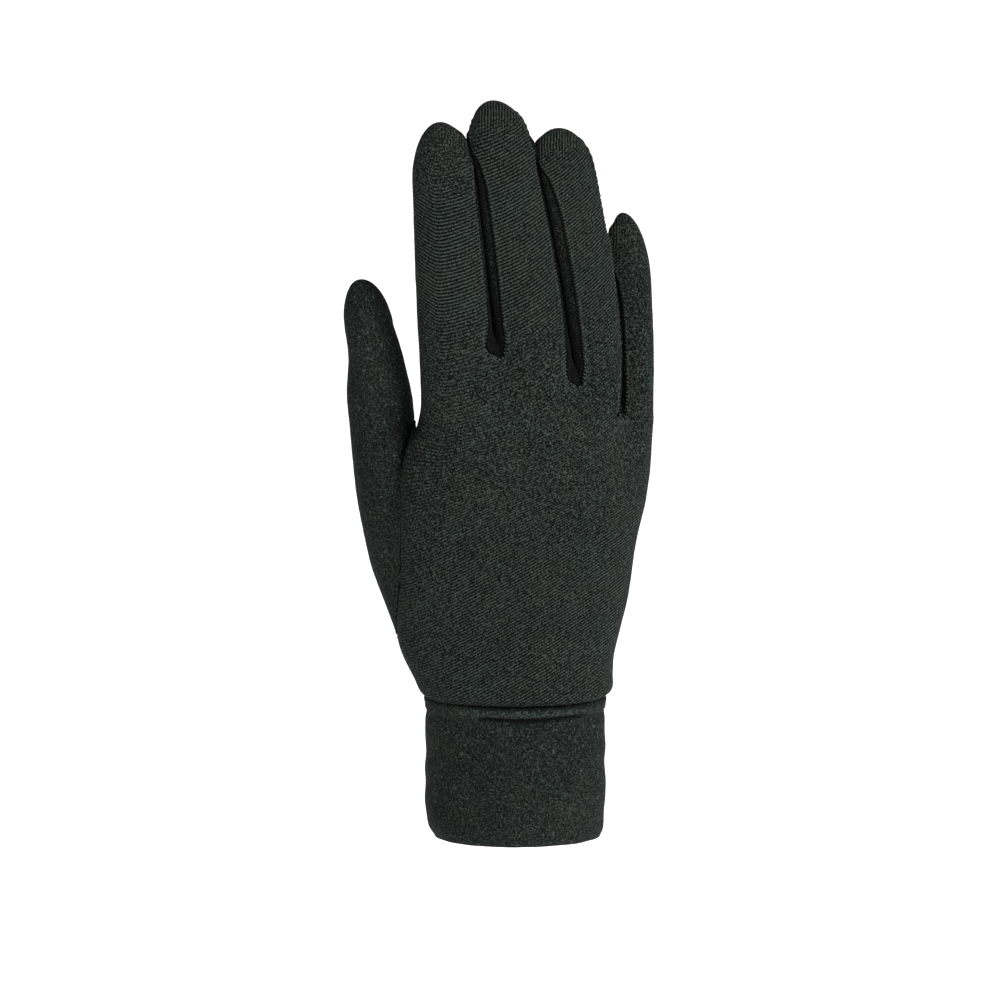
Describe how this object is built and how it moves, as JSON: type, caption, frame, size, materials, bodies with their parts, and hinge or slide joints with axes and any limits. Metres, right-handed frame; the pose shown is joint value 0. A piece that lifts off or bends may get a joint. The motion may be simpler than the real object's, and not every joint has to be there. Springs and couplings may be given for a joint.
{
  "type": "glove liner",
  "caption": "Thin black knitted glove liner for the right hand, filled out as worn, with sewn finger side strips, a set-in thumb and a turned-up double cuff.",
  "frame": {"origin": "middle of the hand opening, level with the lower edge of the cuff", "axes": "+Z from the hem to the fingertips, the back of the hand faces -Y, the thumb is on the -X side"},
  "size_m": [0.1088, 0.0468, 0.2624],
  "materials": {
    "jersey": "fine black twill-faced knit with a faint green-grey cast, matt with a soft sheen",
    "cuff_knit": "fine plain black knit, double, matt"
  },
  "bodies": {
    "root": {"back_panel": "jersey", "palm_panel": "jersey", "fourchette_index_middle": "jersey", "fourchette_middle_ring": "jersey", "fourchette_ring_little": "jersey", "thumb": "jersey", "cuff": "cuff_knit"}
  },
  "joints": []
}
